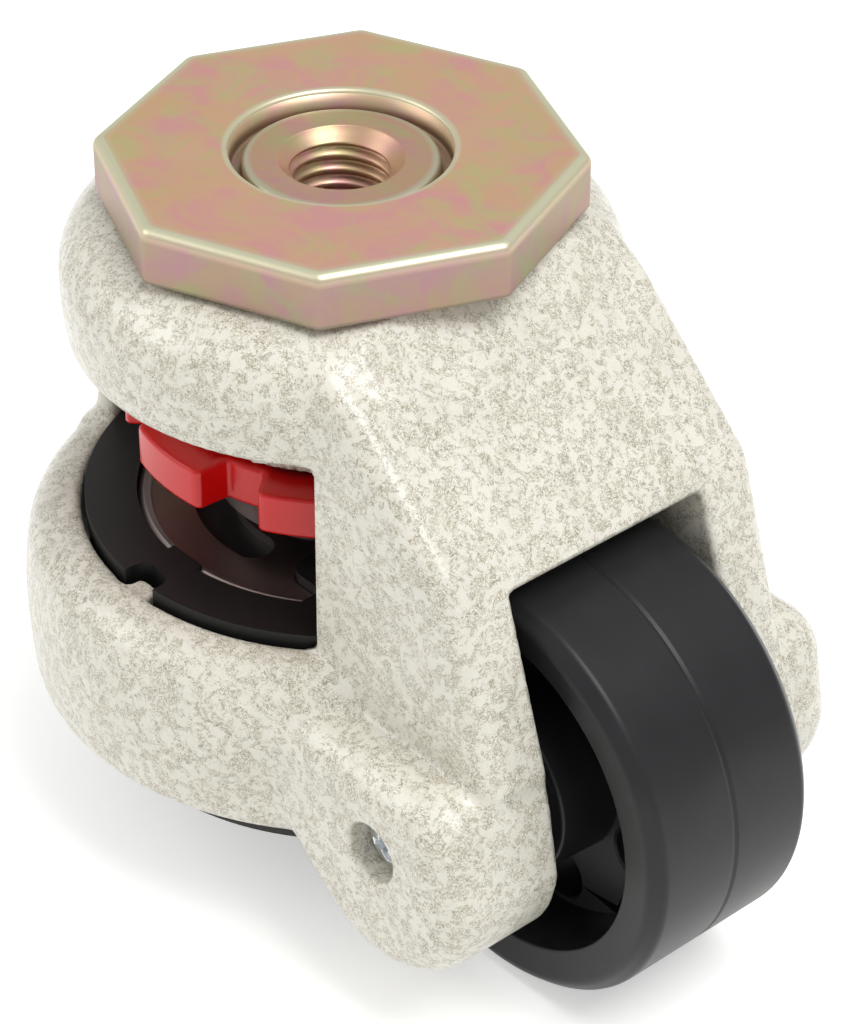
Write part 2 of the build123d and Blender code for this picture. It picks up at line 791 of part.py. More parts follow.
retaining_ring.part.label = "retaining_ring"
export_step(retaining_ring.part, "parts/retaining_ring.step")

# ---------------------------------------------------------------- foot
slot_length = foot_radius + 2 - slot_front


def wheel_slot():
    """Cut from a foot outline: the slot that clears the wheel, with the key notches."""
    notch_width = key_width + 2 * key_side_clearance
    with Locations((slot_front + slot_length / 2, 0)):
        Rectangle(slot_length, 2 * slot_half_width, mode=Mode.SUBTRACT)
    with Locations((0, bore_radius), (0, -bore_radius)):
        RectangleRounded(
            notch_width,
            2 * (key_depth + key_end_clearance),
            radius=key_corner * notch_width / 2,
            mode=Mode.SUBTRACT,
        )


def dish_space(inset=0.0):
    """Outline of the space inside the foot's rim, smaller by this inset all round."""
    Circle(foot_rim_inner_radius - inset)
    with Locations((dish_chord_x - inset + foot_radius, 0)):
        Rectangle(2 * foot_radius, 2 * foot_radius, mode=Mode.SUBTRACT)
    with Locations((slot_front - foot_slot_wall - inset + foot_radius, 0)):
        RectangleRounded(
            2 * foot_radius,
            2 * (slot_half_width + foot_slot_wall + inset),
            radius=foot_slot_round,
            mode=Mode.SUBTRACT,
        )
    # the rim's tab behind each key notch
    with Locations((0, foot_rim_inner_radius), (0, -foot_rim_inner_radius)):
        Rectangle(foot_tab_width + 2 * inset, 2 * (foot_tab_depth + inset), mode=Mode.SUBTRACT)


with BuildPart() as foot_body:
    # moulded cup: guide rim, skirt and the web that carries the dish
    with BuildSketch(Plane.XY.offset(foot_bottom + sole_thickness)):
        Circle(skirt_radius)
        wheel_slot()
    extrude(amount=foot_top - foot_rim_thickness - foot_bottom - sole_thickness)
    with BuildSketch(Plane.XY.offset(foot_top - foot_rim_thickness)):
        Circle(foot_radius)
        wheel_slot()
    extrude(amount=foot_rim_thickness)
    with BuildSketch(Plane.XY.offset(web_top)):
        dish_space()
    extrude(amount=foot_top - web_top, mode=Mode.SUBTRACT)
    with BuildSketch(Plane.XY.offset(foot_bottom + sole_thickness)):
        dish_space()
    extrude(amount=web_top - foot_web_thickness - foot_bottom - sole_thickness, mode=Mode.SUBTRACT)
    with BuildSketch(Plane.XY.offset(web_top - foot_web_thickness)):
        Circle(spigot_radius + 0.05)
    extrude(amount=foot_web_thickness, mode=Mode.SUBTRACT)

foot_body.part.label = "foot_body"
export_step(foot_body.part, "parts/foot_body.step")

with BuildPart() as foot_sole:
    with BuildSketch(Plane.XY.offset(foot_bottom)):
        Circle(skirt_radius)
        wheel_slot()
    extrude(amount=sole_thickness)

foot_sole.part.label = "foot_sole"
export_step(foot_sole.part, "parts/foot_sole.step")

dish_edge = foot_rim_inner_radius - dish_gap

with BuildPart() as foot_dish:
    # pressed steel dish: flat floor, sloping wall and a rolled rim
    with BuildSketch(Plane.XZ) as dish_section:
        with BuildLine():
            Polyline(
                (0, web_top),
                (dish_edge, web_top),
                (dish_edge, level(dish_rim_height) - dish_rim_round),
                (dish_edge - dish_rim_width / 2, level(dish_rim_height)),
                (dish_edge - dish_rim_width, level(dish_rim_height) - dish_rim_round),
                (dish_flat_radius, dish_floor),
                (0, dish_floor),
                (0, web_top),
            )
        make_face()
    revolve(axis=Axis.Z)
    with BuildSketch(Plane.XY.offset(web_top)):
        dish_space(inset=dish_gap)
    extrude(amount=dish_rim_height - foot_web_height, mode=Mode.INTERSECT)
    with BuildSketch(Plane.XY.offset(web_top)):
        Circle(spigot_radius + 0.05)
    extrude(amount=dish_thickness, mode=Mode.SUBTRACT)
    # kidney-shaped holes round the screw
    with BuildSketch(Plane.XY.offset(web_top)):
        with PolarLocations(0, kidney_count, start_angle=kidney_start_angle):
            SlotArc(
                CenterArc((0, 0), kidney_ring_radius, -kidney_half_angle, 2 * kidney_half_angle),
                height=kidney_width,
            )
    extrude(amount=dish_thickness, mode=Mode.SUBTRACT)

foot_dish.part.label = "foot_dish"
export_step(foot_dish.part, "parts/foot_dish.step")

with BuildPart() as foot_screw:
    with BuildSketch(Plane.XZ) as screw_section:
        with BuildLine():
            Polyline(
                (0, web_top - foot_web_thickness - rivet_washer_thickness - rivet_thickness),
                (rivet_radius, web_top - foot_web_thickness - rivet_washer_thickness - rivet_thickness),
                (rivet_radius, web_top - foot_web_thickness - rivet_washer_thickness),
                (spigot_radius, web_top - foot_web_thickness - rivet_washer_thickness),
                (spigot_radius, dish_floor),
                (screw_radius, dish_floor),
                (screw_radius, screw_top - 1),
                (screw_radius - 1, screw_top),
                (0, screw_top),
                (0, web_top - foot_web_thickness - rivet_washer_thickness - rivet_thickness),
            )
        make_face()
    revolve(axis=Axis.Z)

foot_screw.part.label = "foot_screw"
export_step(foot_screw.part, "parts/foot_screw.step")

with BuildPart() as rivet_washer:
    with BuildSketch(Plane.XY.offset(web_top - foot_web_thickness - rivet_washer_thickness)):
        Circle(rivet_washer_radius)
        Circle(spigot_radius + 0.05, mode=Mode.SUBTRACT)
    extrude(amount=rivet_washer_thickness)

rivet_washer.part.label = "rivet_washer"
export_step(rivet_washer.part, "parts/rivet_washer.step")
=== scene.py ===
# %% [markdown]
# # Levelling castor
# A swivel castor with a foot beside its wheel. The wheel rolls the machine into place, then the red
# thumbwheel is turned and the black foot comes down beside the wheel and takes the load off it.
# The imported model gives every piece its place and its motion. This lesson gives them their looks:
# a speckled powder coat, a zinc plate that shimmers, moulded nylon, a cut thread.

# %% Load the frame
import math
import bpy
import numpy as np
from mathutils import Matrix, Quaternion, Vector


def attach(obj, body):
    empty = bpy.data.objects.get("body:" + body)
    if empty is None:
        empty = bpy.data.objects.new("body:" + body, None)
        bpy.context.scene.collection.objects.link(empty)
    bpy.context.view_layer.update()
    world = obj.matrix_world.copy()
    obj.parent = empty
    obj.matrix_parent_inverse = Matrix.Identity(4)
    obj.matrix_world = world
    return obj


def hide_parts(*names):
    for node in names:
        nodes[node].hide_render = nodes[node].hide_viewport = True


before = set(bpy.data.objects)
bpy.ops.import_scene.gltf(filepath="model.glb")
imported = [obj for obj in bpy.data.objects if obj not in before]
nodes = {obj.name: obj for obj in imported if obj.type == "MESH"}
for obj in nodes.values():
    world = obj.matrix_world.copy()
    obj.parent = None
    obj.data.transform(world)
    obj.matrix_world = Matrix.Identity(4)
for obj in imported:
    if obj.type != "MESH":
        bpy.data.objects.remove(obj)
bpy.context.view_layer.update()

# %% [markdown]
# The castor is drawn in millimetres, and heights are measured up from the floor that the wheel stands
# on, as a fitter would measure them. The frame has its origin 79 mm higher, in the mouth of the tapped
# hole, and counts in metres, so one function takes every mesh from the drawing to the frame.

# %% Millimetres above the floor to metres in the frame
MOUTH = 79.0                 # floor to the mouth of the tapped hole
AXLE = (37.5, 25.0)          # swivel axis to axle, and the axle's height
BOSS_HEIGHT = 22.5           # middle of the axle boss's outline
SILL = 38.15                 # lower edge of the finger windows
REAR = 48.3                  # rear of the cheeks where they meet the axle band
HEAD_TOP = 75.1              # top of the domed head, under the plate
WINDOW_TOP = 61.0            # upper edge of the finger windows
SLOPE_END = (41.6, 55.4)     # lower edge of the sloped back: distance behind the swivel axis, and height
BAND_TOP = 34.5              # top of the axle band
BAND_HALF = 28.4             # middle to the outer face of an axle boss
CHEEK_HALF = 21.5            # middle to the outer face of a cheek
FORK_HALF = 13.5             # middle to the inner face of a cheek
BORE = 29.4                  # bore of the foot and the thumbwheel's chamber
TUBE, TUBE_BOTTOM = 19.8, 53.55   # tube round the drive nut: outside, and its lower end


def to_frame(points):
    """Points in mm, heights from the floor, as metres in the frame: subtract the mouth's height, divide."""
    return (np.asarray(points, float) - (0, 0, MOUTH)) / 1000


def make_object(name, points, quads, material, smooth=True):
    """A mesh object from points (n, 3) in mm and faces (m, 4). The faces are turned outwards: the sum of
    each face's a . (b x c), six times the volume it encloses with the origin, has to be positive."""
    a, b, c, d = (points[quads[:, i]] for i in range(4))
    volume = np.einsum("ij,ij->", a, np.cross(b, c)) + np.einsum("ij,ij->", a, np.cross(c, d))
    if volume < 0:
        quads = quads[:, ::-1]
    mesh = bpy.data.meshes.new(name)
    mesh.vertices.add(len(points))
    mesh.vertices.foreach_set("co", to_frame(points).astype(np.float32).ravel())
    mesh.loops.add(quads.size)
    mesh.loops.foreach_set("vertex_index", quads.astype(np.int32).ravel())
    mesh.polygons.add(len(quads))
    mesh.polygons.foreach_set("loop_start", np.arange(0, quads.size, 4, dtype=np.int32))
    mesh.update(calc_edges=True)
    mesh.validate()
    mesh.polygons.foreach_set("use_smooth", np.full(len(mesh.polygons), smooth))
    obj = bpy.data.objects.new(name, mesh)
    bpy.context.scene.collection.objects.link(obj)
    mesh.materials.append(material)
    print(name, "triangles", 2 * len(quads))
    return obj


# %% [markdown]
# A new piece moves with the body that its node belongs to, and stands for that node, which is
# hidden.

# %% A piece stands for a node
def stands_for(piece, node, body):
    """Tie the piece to its body and hide the node."""
    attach(piece, body)
    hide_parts(node)


# %% [markdown]
# A material is a small tree of nodes. One function adds a node, sets its values and links its inputs,
# and another turns the hex colour that a paint chart gives into the linear numbers Blender mixes.

# %% Colours and nodes
def colour(code):
    """sRGB hex to linear: c / 12.92 below 0.04045, else ((c + 0.055) / 1.055) to the power 2.4."""
    c = np.array([int(code[i:i + 2], 16) for i in (1, 3, 5)]) / 255
    return (*np.where(c <= 0.04045, c / 12.92, ((c + 0.055) / 1.055) ** 2.4), 1.0)


def add(tree, kind, inputs=(), **settings):
    """One node with its settings, and with its inputs set to a value or linked to a socket."""
    node = tree.nodes.new(kind)
    for key, value in settings.items():
        setattr(node, key, value)
    for key, value in dict(inputs).items():
        if isinstance(value, bpy.types.NodeSocket):
            tree.links.new(value, node.inputs[key])
        else:
            node.inputs[key].default_value = value
    return node


def new_material(name, **values):
    """A material, its tree, its Principled shader with these values, and its Object coordinates."""
    material = bpy.data.materials.new(name)
    material.use_nodes = True
    tree = material.node_tree
    shader = tree.nodes["Principled BSDF"]
    for key, value in values.items():
        shader.inputs[key.replace("_", " ")].default_value = value
    place = add(tree, "ShaderNodeTexCoord").outputs["Object"]
    return material, tree, shader, place


def mm(size):
    """Noise scale for a feature of this many mm: coordinates are metres, so 1000 over the size."""
    return 1000.0 / size


def noise(tree, place, size, detail=2.0, roughness=0.5, distortion=0.0):
    """Noise from 0 to 1 whose blobs are about this many mm across."""
    values = {"Vector": place, "Scale": mm(size), "Detail": detail,
              "Roughness": roughness, "Distortion": distortion}
    return add(tree, "ShaderNodeTexNoise", values).outputs["Fac"]


def ramp(tree, value, *stops):
    """A colour ramp through (position, hex or grey) stops."""
    node = add(tree, "ShaderNodeValToRGB", {"Fac": value})
    elements = node.color_ramp.elements
    while len(elements) < len(stops):
        elements.new(0.5)
    for element, (position, tone) in zip(elements, stops):
        element.position = position
        element.color = colour(tone) if isinstance(tone, str) else (tone, tone, tone, 1.0)
    return node.outputs["Color"]


def mix(tree, amount, a, b, blend="MIX"):
    """Colour a with this amount of colour b over it."""
    node = add(tree, "ShaderNodeMix", data_type="RGBA", blend_type=blend)
    for key, value in ((0, amount), (6, a), (7, b)):
        if isinstance(value, bpy.types.NodeSocket):
            tree.links.new(value, node.inputs[key])
        else:
            node.inputs[key].default_value = colour(value) if isinstance(value, str) else value
    return node.outputs[2]


def calc(tree, operation, a, b=0.0):
    """One sum on values or sockets."""
    return add(tree, "ShaderNodeMath", {0: a, 1: b}, operation=operation).outputs[0]


def bump(tree, shader, height, depth_mm, strength=1.0):
    """Bump of this depth in mm on the shader."""
    values = {"Height": height, "Distance": depth_mm / 1000, "Strength": strength}
    tree.links.new(add(tree, "ShaderNodeBump", values).outputs["Normal"], shader.inputs["Normal"])


# %% [markdown]
# The housing is an aluminium casting under a cream powder coat. A second, tan powder melts into it as
# short curled threads, a few tenths of a millimetre wide, which come and go in patches. The outline of
# a noise blob is a curl, so the threads are the narrow band round a noise's middle value, broken up by
# a coarser noise. The coat flows before it sets: it is glossy, with a faint orange peel.

# %% Powder coat
THREAD_SIZE = 0.8            # mm, curl of a tan thread
ISLAND_SIZE = 1.3            # mm, smooth cream islands between the threads


def powder_coat():
    """Cream coat with curled threads of tan and grey round smooth islands."""
    material, tree, shader, place = new_material(
        "speckled_cream_powder_coat", Roughness=0.34, Coat_Weight=0.3, Coat_Roughness=0.14)
    tint = ramp(tree, noise(tree, place, 7.0, 3.0), (0.35, "#E6E3D7"), (0.65, "#DFDCD0"))
    island = noise(tree, place, ISLAND_SIZE, 3.0, 0.6, 0.6)
    open_coat = ramp(tree, island, (0.47, 1.0), (0.57, 0.12))
    for size, tone, seed, width in ((THREAD_SIZE, "#A0967A", 0.0, 0.020),
                                    (THREAD_SIZE * 0.7, "#ABA28A", 31.0, 0.024),
                                    (THREAD_SIZE * 1.5, "#97948A", 67.0, 0.013)):
        moved = add(tree, "ShaderNodeMapping", {"Vector": place, "Location": (seed, seed, seed)})
        curls = noise(tree, moved.outputs[0], size, 2.5, 0.6, 1.6)
        offset = calc(tree, "ABSOLUTE", calc(tree, "SUBTRACT", curls, 0.5))
        line = ramp(tree, offset, (0.0, 1.0), (width, 0.9), (width * 1.35, 0.0))
        broken = ramp(tree, noise(tree, moved.outputs[0], size * 0.8, 2.0), (0.36, 0.45), (0.48, 1.0))
        amount = calc(tree, "MULTIPLY", calc(tree, "MULTIPLY", line, open_coat), broken)
        tint = mix(tree, amount, tint, tone)
    tree.links.new(tint, shader.inputs["Base Color"])
    bump(tree, shader, noise(tree, place, 2.2, 2.0), 0.03, 0.6)
    return material


coat = powder_coat()
print("made", coat.name)

# %% [markdown]
# The plate and the kingpin are pressed and turned from steel, zinc plated and dipped in yellow
# chromate. The chromate film is thin enough to shimmer: tan for the most part, with pink and
# yellow-green clouds. A painted highlight makes the rolled edges pale, and painted shade darkens
# the sides, the recess and the kingpin.

# %% Yellow chromate and other zinc
def chromate():
    """Tan metal with pink and green clouds. Two attributes of the mesh, 0 to 1: edge paints a pale
    highlight on the rims, and wall paints shade on the sheared and turned sides and in the recess."""
    material, tree, shader, place = new_material(
        "yellow_zinc_chromate_steel", Metallic=0.82, Roughness=0.42)
    base = ramp(tree, noise(tree, place, 14.0, 3.0, 0.55, 0.4), (0.30, "#E2BA90"), (0.70, "#E6BA9B"))
    pink = ramp(tree, noise(tree, place, 8.0, 3.0, 0.6, 1.2), (0.46, 0.0), (0.66, 0.75))
    base = mix(tree, pink, base, "#EAA6AC")
    moved = add(tree, "ShaderNodeMapping", {"Vector": place, "Location": (0.31, 0.12, 0.05)}).outputs[0]
    green = ramp(tree, noise(tree, moved, 7.0, 3.0, 0.6, 1.0), (0.48, 0.0), (0.68, 0.75))
    base = mix(tree, green, base, "#CFCB8E")
    # Painted highlight: the edge attribute lightens the rolled rims to a pale tone.
    rim = add(tree, "ShaderNodeAttribute", attribute_name="edge").outputs["Fac"]
    base = mix(tree, rim, base, "#DEDDBE")
    # Painted shade: the wall attribute darkens and cools the sides, the recess and the kingpin.
    wall = add(tree, "ShaderNodeAttribute", attribute_name="wall").outputs["Fac"]
    base = mix(tree, wall, base, "#B9C1CC", "MULTIPLY")
    tree.links.new(base, shader.inputs["Base Color"])
    grain = noise(tree, place, 0.5, 3.0, 0.6)
    bump(tree, shader, grain, 0.012, 0.5)
    return material


def mark(piece, name, values):
    """Store one value, 0 to 1, at each point of the piece for its material to read."""
    store = piece.data.attributes.new(name, "FLOAT", "POINT")
    store.data.foreach_set("value", np.clip(values, 0, 1).astype(np.float32).ravel())


def plain_metal(name, tone, rough, wear=0.12):
    """A worked metal: one tone, with roughness that wanders a little as handling and oil leave it."""
    material, tree, shader, place = new_material(name, Metallic=1.0)
    shader.inputs["Base Color"].default_value = colour(tone)
    cloud = noise(tree, place, 3.0, 3.0)
    limits = {"Value": cloud, "To Min": rough - wear / 2, "To Max": rough + wear / 2}
    spread = add(tree, "ShaderNodeMapRange", limits)
    tree.links.new(spread.outputs[0], shader.inputs["Roughness"])
    bump(tree, shader, noise(tree, place, 0.4, 2.0), 0.006, 0.4)
    return material


def moulded(name, tone, dark, rough, grain_mm=0.8, depth=0.012):
    """A moulded plastic or rubber: nearly one tone, with the fine texture of the mould."""
    material, tree, shader, place = new_material(name, Roughness=rough)
    tint = ramp(tree, noise(tree, place, 6.0, 3.0), (0.3, tone), (0.7, dark))
    tree.links.new(tint, shader.inputs["Base Color"])
    bump(tree, shader, noise(tree, place, grain_mm, 3.0), depth, 0.5)
    return material


zinc_yellow = chromate()
zinc_bright = plain_metal("bright_zinc_steel", "#DEE3E7", 0.30)
dark_steel = plain_metal("dark_phosphated_steel", "#777170", 0.32)
bearing_steel = plain_metal("polished_bearing_steel", "#C8C8CA", 0.15)
spring_steel = plain_metal("oiled_spring_steel", "#6B6A6C", 0.3)
black_nylon = moulded("black_moulded_nylon", "#0D0D0E", "#101011", 0.50)
wheel_nylon = moulded("black_wheel_nylon", "#212123", "#262628", 0.36)
wheel_nylon.node_tree.nodes["Principled BSDF"].inputs["Specular IOR Level"].default_value = 0.28
dish_steel = plain_metal("brown_phosphated_dish_steel", "#9A8E8A", 0.38)
black_rubber = moulded("black_rubber", "#191919", "#1E1E1E", 0.62)
red_plastic = moulded("red_moulded_acetal", "#D60A0B", "#CA0708", 0.27)
pale_nylon = moulded("natural_nylon", "#DAD6C8", "#D2CEC0", 0.45)
print("materials", len(bpy.data.materials))

# %% [markdown]
# Most pieces are turned or pressed, so they are a stack of closed loops with the same count of points.
# A turned piece is a profile carried round its axis: each loop is a circle. A pressed plate is one
# outline drawn smaller and smaller. One function joins any such stack into a skin.


# %% Stacked loops and rounded profiles
def loops_to_quads(rows, columns, closed_rows):
    """Face corners of a grid: cell (i, j) takes points (i, j), (i+1, j), (i+1, j+1), (i, j+1), and j wraps."""
    i = np.arange(rows if closed_rows else rows - 1)[:, None]
    j = np.arange(columns)[None, :]
    i2, j2 = (i + 1) % rows, (j + 1) % columns
    corners = [i * columns + j, i2 * columns + j, i2 * columns + j2, i * columns + j2]
    return np.stack(np.broadcast_arrays(*corners), -1).reshape(-1, 4)


def rounded(corners, steps=6):
    """A profile through (a, b, radius) corners, each rounded by an arc tangent to both its sides."""
    points = np.array([c[:2] for c in corners], float)
    radii = [c[2] for c in corners]
    line = []
    for k, (corner, radius) in enumerate(zip(points, radii)):
        before, after = points[k - 1], points[(k + 1) % len(points)]
        if radius == 0:
            line.append(corner[None, :])
            continue
        u = (before - corner) / np.linalg.norm(before - corner)
        v = (after - corner) / np.linalg.norm(after - corner)
        half = math.acos(np.clip(u @ v, -1, 1)) / 2
        reach = radius / math.tan(half)
        middle = corner + (u + v) / np.linalg.norm(u + v) * radius / math.sin(half)
        start, end = corner + u * reach - middle, corner + v * reach - middle
        turn = math.pi - 2 * half
        t = np.linspace(0, 1, steps + 1)[:, None]
        bend = np.sin((1 - t) * turn) * start + np.sin(t * turn) * end
        line.append(middle + bend / math.sin(turn))
    return np.concatenate(line)


def guarded(profile, gap=0.12):
    """The closed profile with a point this close to both ends of each long side, so that the shading of
    an edge stays at the edge and the face between stays flat."""
    profile = np.asarray(profile, float)
    side = np.roll(profile, -1, axis=0) - profile
    length = np.linalg.norm(side, axis=1, keepdims=True)
    step = np.where(length > 4 * gap, side / np.maximum(length, 1e-9) * gap, np.nan)
    points = np.stack([profile, profile + step, profile + side - step], 1).reshape(-1, 2)
    return points[~np.isnan(points[:, 0])]


def turned(name, profile, material, segments=160, about_axle=False):
    """A piece turned from a closed profile of (radius, distance along the axis): each profile point
    becomes a circle of (r cos t, r sin t) round the swivel axis, or round the axle."""
    profile = guarded(profile)
    t = np.linspace(0, 2 * math.pi, segments, endpoint=False)
    r, along = profile[:, :1], np.broadcast_to(profile[:, 1:], (len(profile), segments))
    if about_axle:
        grid = np.stack([AXLE[0] + r * np.cos(t), along, AXLE[1] + r * np.sin(t)], -1)
    else:
        grid = np.stack([r * np.cos(t), r * np.sin(t), along], -1)
    quads = loops_to_quads(len(profile), segments, True)
    return make_object(name, grid.reshape(-1, 3), quads, material)


# %% [markdown]
# A casting has no sharp edge and no crisp joint between its forms: metal and coat flow round all of
# them. So the housing is written as one function of a point, the distance to its surface, below zero
# inside. Simple forms have simple distances, and two of them join with a fillet of a chosen radius.
# The skin is then laid where the distance is zero.

# %% Forms and fillets
def join(a, b, radius):
    """Both forms, with a fillet of this radius in the valley between them."""
    u, v = np.maximum(radius - a, 0), np.maximum(radius - b, 0)
    return np.maximum(np.minimum(a, b), radius) - np.hypot(u, v)


def common(a, b, radius):
    """Where both forms are, with their shared edge rounded to this radius."""
    return -join(-a, -b, radius)


def head_form(x, y, z, r):
    """Domed head: a barrel r = 30.3 - 0.0142 (z - 67.5)^2, cut flat at 75.1 with a broad round edge."""
    barrel = r - (30.3 - 0.0142 * (z - 67.5) ** 2)
    return common(common(barrel, z - HEAD_TOP, 6.5), WINDOW_TOP - z, 1.0)


def ring_form(x, y, z, r):
    """Lower ring: a barrel widest at 27.5, r = 36.1 - k (z - 27.5)^2, with a round shoulder under the
    sill at 38.15 and a round foot at 16.8."""
    barrel = r - (36.1 - np.where(z > 27.5, 0.0137, 0.0063) * (z - 27.5) ** 2)
    return common(common(barrel, z - SILL, 4.4), 16.8 - z, 2.1)


def column_form(x, y, z, r):
    """Front column, 23 degrees each side of -X: 32.3 out, drawn in by 2.6 h^3.5 under the head and flared
    by 2.1 h^3 at its foot, where h runs from 0 to 1 over that end."""
    side = np.abs(y) * math.cos(math.radians(23)) + x * math.sin(math.radians(23))
    head = 2.6 * np.clip((z - 56) / 13, 0, 1) ** 3.5
    foot = 2.1 * np.clip((SILL + 5 - z) / 6.4, 0, 1) ** 3
    return np.maximum(common(r - (32.3 - head + foot), side, 1.6), np.abs(z - 52.5) - 17.5)


def cheek_form(x, y, z):
    """Sloped back: flat top, slope and rear face, 21.5 each side of the middle, its edges rounded. Below
    the band's top the rear face drops straight down inside the band."""
    slope = 0.6842 * (x - SLOPE_END[0]) + 0.7294 * (z - SLOPE_END[1])
    rear = np.maximum(0.952 * (x - SLOPE_END[0]) + 0.305 * (z - SLOPE_END[1]), x - REAR)
    outline = common(common(z - HEAD_TOP, slope, 6.0), rear, 1.6)
    return np.maximum(common(outline, np.abs(y) - CHEEK_HALF, 2.6), np.maximum(-x, 25 - z))


def band_form(x, y, z):
    """Axle band: a boss of 13 round a point 2.5 under the axle, a flat top at 34.5, a rear that leans
    out from 48.3 to the boss, and an underside at 18 that dips to meet the boss; 28.4 each side."""
    boss = np.hypot(x - AXLE[0], z - BOSS_HEIGHT) - 13.0
    dip = -0.187 * (x - 20.5) - 0.9823 * (z - 18.0)
    run = np.maximum(np.minimum(18.0 - z, dip), x - AXLE[0])
    rear = 0.9836 * (x - REAR - 2.2) + 0.1803 * (z - BOSS_HEIGHT)
    back = np.maximum(np.maximum(rear, BOSS_HEIGHT - z), AXLE[0] - x)
    outline = np.minimum(join(boss, run, 3.0), back)
    outline = np.maximum(outline, common(rear, z - BAND_TOP, 5.0))
    return np.maximum(common(outline, np.abs(y) - BAND_HALF, 4.5), -x)


def pocket_form(x, y, z):
    """Wheel pocket: 27 round the axle, open below and behind, 27 wide between the cheeks."""
    top = 52 + 0.415 * np.clip(x - 37.5, 0, 5.3)
    disc = np.hypot(x - AXLE[0], z - AXLE[1]) - 27
    outline = np.minimum(disc, np.maximum(10.5 - x, z - 25))
    outline = np.minimum(outline, np.maximum(37.5 - x, (z - top) * 0.93))
    return common(outline, np.abs(y) - FORK_HALF, 0.7)


def bore_form(x, y, z, r):
    """Inside of the casting: one bore of 29.4 for foot and thumbwheel with two keys below the sill, the
    ring-shaped chamber over it, and the stepped socket of the drive nut."""
    key = np.maximum(common(np.abs(x) - 1.7, 27.3 - np.abs(y), 1.19), z - SILL)
    bore = np.maximum(r - BORE, z - WINDOW_TOP)
    chamber = np.maximum(bore, -np.maximum(r - TUBE, TUBE_BOTTOM - z))
    step = np.where(z < 63.3, 16.6, np.where(z < 68.2, 15.0, 9.8))
    socket = np.maximum(r - step, 52 - z)
    return np.minimum(common(chamber, -key, 0.5), socket)


def housing_form(x, y, z):
    """Distance to the surface of the whole casting, in mm, below zero inside. A tube of 19.8 hangs from
    the head all round the drive nut and holds its retaining ring."""
    r = np.hypot(x, y)
    slope = 0.6842 * (x - SLOPE_END[0]) + 0.7294 * (z - SLOPE_END[1])
    head = np.maximum(head_form(x, y, z, r), slope)
    upper = join(head, cheek_form(x, y, z), 0.9)
    lower = join(ring_form(x, y, z, r), band_form(x, y, z), 1.2)
    lower = join(lower, column_form(x, y, z, r), 1.5)
    body = join(upper, lower, 0.9)
    tube = np.maximum(np.maximum(r - TUBE, TUBE_BOTTOM - z), z - 63.45)
    body = common(join(body, tube, 0.9), -bore_form(x, y, z, r), 0.7)
    body = common(body, -pocket_form(x, y, z), 0.8)
    bolt = np.hypot(x - AXLE[0], z - AXLE[1])
    body = common(body, -np.maximum(bolt - 3.4, y + 24.0), 0.5)
    turn = np.arctan2(z - AXLE[1], x - AXLE[0])
    hexagon = bolt * np.cos((turn + math.pi / 6) % (math.pi / 3) - math.pi / 6) - 4.1
    body = common(body, -np.maximum(hexagon, 23.2 - y), 0.3)
    body = np.maximum(body, -(bolt - 2.55))
    seal = np.maximum(np.abs(r - 18.5) - 0.8, 74.0 - z)
    return np.maximum(body, -seal)


# %% [markdown]
# The skin is found on a grid of cells. In each cell that the surface crosses, one point is put at the
# middle of the crossings and then slid along the slope of the function until the distance is zero.
# Every crossed edge of the grid joins the points of the four cells round it. The grid is finer near
# the axle holes, where the shapes are small.

# %% Skin of a distance function
def slope_of(form, p, step=0.05):
    """Gradient by central differences: (f(p + h) - f(p - h)) / 2h along x, y and z."""
    parts = []
    for axis in range(3):
        ahead, behind = p.copy(), p.copy()
        ahead[:, axis] += step
        behind[:, axis] -= step
        parts.append((form(*ahead.T) - form(*behind.T)) / (2 * step))
    return np.stack(parts, -1)


def skin(form, axes):
    """Points and quads of the surface form = 0 on the grid of these x, y and z values."""
    x, y, z = np.meshgrid(*axes, indexing="ij")
    f = form(x, y, z)
    inside = f < 0
    n = [len(a) - 1 for a in axes]
    corner = [(i, j, k) for i in (0, 1) for j in (0, 1) for k in (0, 1)]
    count = sum(inside[i:n[0] + i, j:n[1] + j, k:n[2] + k].astype(np.int8) for i, j, k in corner)
    cells = np.argwhere((count > 0) & (count < 8))
    number = np.full(n, -1, np.int64)
    number[tuple(cells.T)] = np.arange(len(cells))
    total, hits = np.zeros((len(cells), 3)), np.zeros((len(cells), 1))
    for a in corner:
        for b in corner:
            if sum(b) - sum(a) != 1 or any(q < p for p, q in zip(a, b)):
                continue
            ia, ib = cells + a, cells + b
            fa, fb = f[tuple(ia.T)], f[tuple(ib.T)]
            crossed = (fa < 0) != (fb < 0)
            t = np.where(crossed, fa / np.where(crossed, fa - fb, 1), 0)[:, None]
            pa = np.stack([axes[d][ia[:, d]] for d in range(3)], -1)
            pb = np.stack([axes[d][ib[:, d]] for d in range(3)], -1)
            total += np.where(crossed[:, None], pa + (pb - pa) * t, 0)
            hits += crossed[:, None]
    points = total / hits
    for _ in range(4):
        g = slope_of(form, points)
        move = form(*points.T)[:, None] * g / np.maximum((g ** 2).sum(1, keepdims=True), 0.2)
        points -= np.clip(move, -0.3, 0.3)
    quads = []
    for d in range(3):
        e, g = (d + 1) % 3, (d + 2) % 3
        low = [slice(None)] * 3
        high = [slice(None)] * 3
        low[d], high[d] = slice(0, -1), slice(1, None)
        edges = np.argwhere(inside[tuple(low)] != inside[tuple(high)])
        edges = edges[(edges[:, e] > 0) & (edges[:, g] > 0) & (edges[:, e] < n[e]) & (edges[:, g] < n[g])]
        quad = []
        for de, dg in ((0, 0), (1, 0), (1, 1), (0, 1)):
            cell = edges.copy()
            cell[:, e] -= de
            cell[:, g] -= dg
            quad.append(number[tuple(cell.T)])
        quad = np.stack(quad, -1)
        starts_inside = inside[tuple(edges.T)]
        quads.append(np.where(starts_inside[:, None], quad, quad[:, ::-1]))
    return points, np.concatenate(quads)


